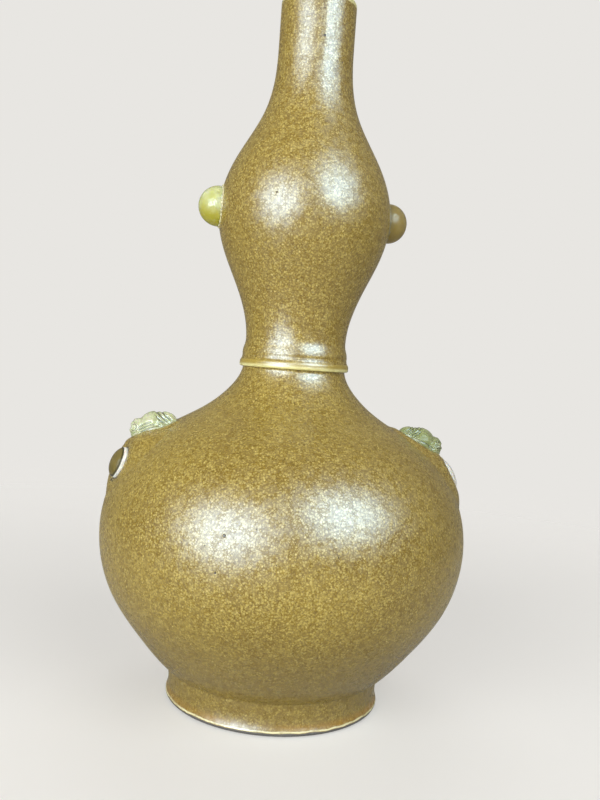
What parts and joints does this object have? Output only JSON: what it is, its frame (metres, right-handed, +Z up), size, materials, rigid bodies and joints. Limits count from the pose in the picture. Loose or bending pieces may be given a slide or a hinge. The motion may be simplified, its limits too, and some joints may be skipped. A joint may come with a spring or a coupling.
{
  "type": "gourd vase",
  "caption": "Glazed double-gourd bottle vase with a slim neck, a turned waist ridge, a foot ring and polished stones set in its shoulders and upper bulb.",
  "frame": {"origin": "middle of the resting face of the foot ring, on the vase's axis", "axes": "+Z up along the vase's axis, -Y towards the viewer, the stones at +X and -X"},
  "size_m": [0.1306, 0.1306, 0.25],
  "materials": {
    "glaze": "satin olive tea dust glaze with fine golden flecks",
    "dome_jade": "polished translucent yellow-green jade",
    "carved_jade": "polished pale celadon jade",
    "agate": "polished banded agate, a white ring round a brown-green middle",
    "setting_cement": "matt pale setting cement"
  },
  "bodies": {
    "root": {"gourd_body": "glaze", "left_dome": "dome_jade", "left_dome_cement": "setting_cement", "left_amulet": "carved_jade", "left_amulet_cement": "setting_cement", "left_agate": "agate", "left_agate_cement": "setting_cement", "right_dome": "dome_jade", "right_dome_cement": "setting_cement", "right_amulet": "carved_jade", "right_amulet_cement": "setting_cement", "right_agate": "agate", "right_agate_cement": "setting_cement"}
  },
  "joints": []
}
